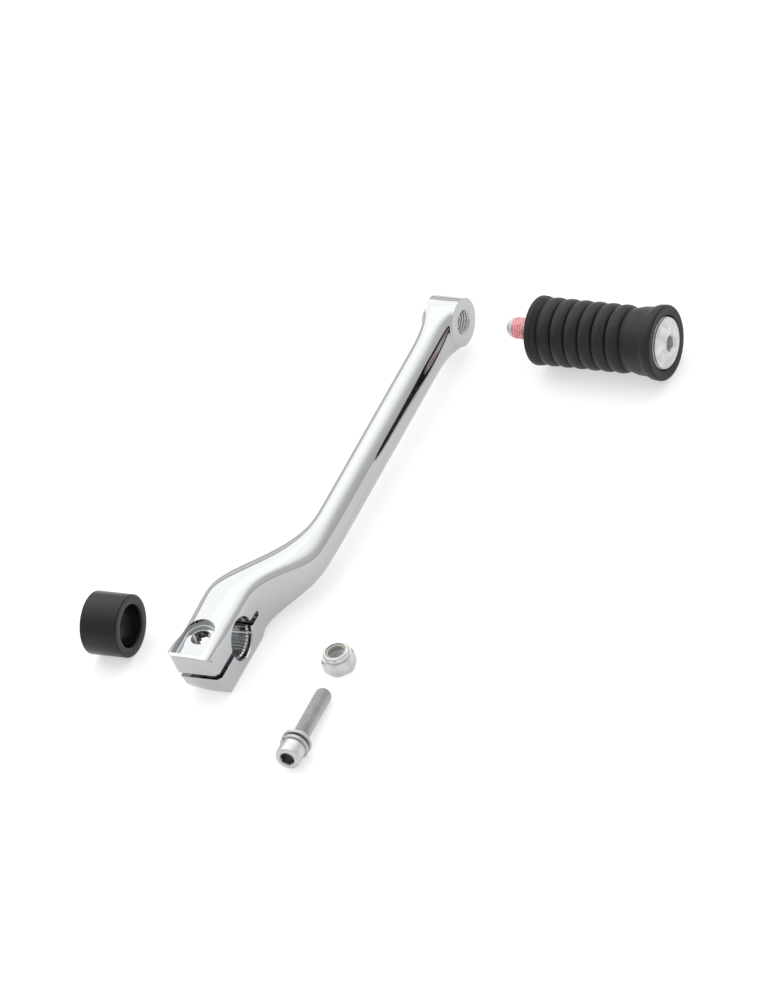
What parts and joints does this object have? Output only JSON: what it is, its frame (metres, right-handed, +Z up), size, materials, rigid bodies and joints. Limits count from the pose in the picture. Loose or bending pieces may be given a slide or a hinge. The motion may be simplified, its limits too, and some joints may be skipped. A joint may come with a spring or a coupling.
{
  "type": "gear shift lever",
  "caption": "Chromed motorcycle gear shift lever with a splined split clamp, ribbed rubber toe peg, shaft spacer, clamp screw, washers and locknut, laid out as a fitting kit.",
  "frame": {"origin": "centre of the splined clamp bore, halfway through the clamp", "axes": "+X along the lever towards the toe peg's eye, +Y inboard along the shift shaft, +Z up, square to the clamp's top face"},
  "size_m": [0.2334, 0.1649, 0.0282],
  "materials": {
    "lever_chrome": "polished chrome plate",
    "spacer_plastic": "satin turned black plastic",
    "bush_steel": "plain turned steel",
    "peg_rubber": "satin moulded rubber",
    "zinc_peg_screw": "matt zinc plate",
    "thread_lock": "dry adhesive coating",
    "zinc_clamp_screw": "bright zinc plate",
    "zinc_washers": "bright zinc plate",
    "zinc_locknut": "bright zinc plate",
    "nylon": "natural nylon"
  },
  "bodies": {
    "lever": {"lever": "lever_chrome"},
    "spacer": {"spacer": "spacer_plastic"},
    "peg_core": {"peg_bush": "bush_steel"},
    "rubber": {"peg_rubber": "peg_rubber"},
    "peg_screw": {"peg_screw": "zinc_peg_screw", "thread_lock_patch": "thread_lock"},
    "clamp_screw": {"clamp_screw": "zinc_clamp_screw"},
    "lock_washer": {"lock_washer": "zinc_washers"},
    "flat_washer": {"flat_washer": "zinc_washers"},
    "locknut": {"locknut": "zinc_locknut", "nylon_ring": "nylon"}
  },
  "joints": [
    {"name": "spacer_seat", "type": "slide", "parent": "lever", "child": "spacer", "axis": [0, -1, 0], "range_m": [0, 0.0278]},
    {"name": "peg_seat", "type": "slide", "parent": "lever", "child": "peg_core", "axis": [0, 1, 0], "range_m": [0, 0.0313]},
    {"name": "rubber_turn", "type": "hinge", "parent": "peg_core", "child": "rubber", "pos_m": [0.167, -0.0839, 0.0024], "axis": [0, -1, 0], "continuous": true},
    {"name": "peg_screw_turn", "type": "hinge", "parent": "peg_core", "child": "peg_screw", "pos_m": [0.167, -0.0839, 0.0024], "axis": [0, -1, 0], "continuous": true},
    {"name": "clamp_screw_lift", "type": "slide", "parent": "lever", "child": "clamp_screw", "axis": [0, 0, 1], "range_m": [0, 0.04]},
    {"name": "lock_washer_slide", "type": "slide", "parent": "clamp_screw", "child": "lock_washer", "axis": [0.9931, 0.0729, -0.0923], "range_m": [0, 0.012]},
    {"name": "flat_washer_slide", "type": "slide", "parent": "lock_washer", "child": "flat_washer", "axis": [0.9931, 0.0729, -0.0923], "range_m": [0, 0.012]},
    {"name": "locknut_lift", "type": "slide", "parent": "lever", "child": "locknut", "axis": [0, 0, 1], "range_m": [0, 0.04]}
  ]
}
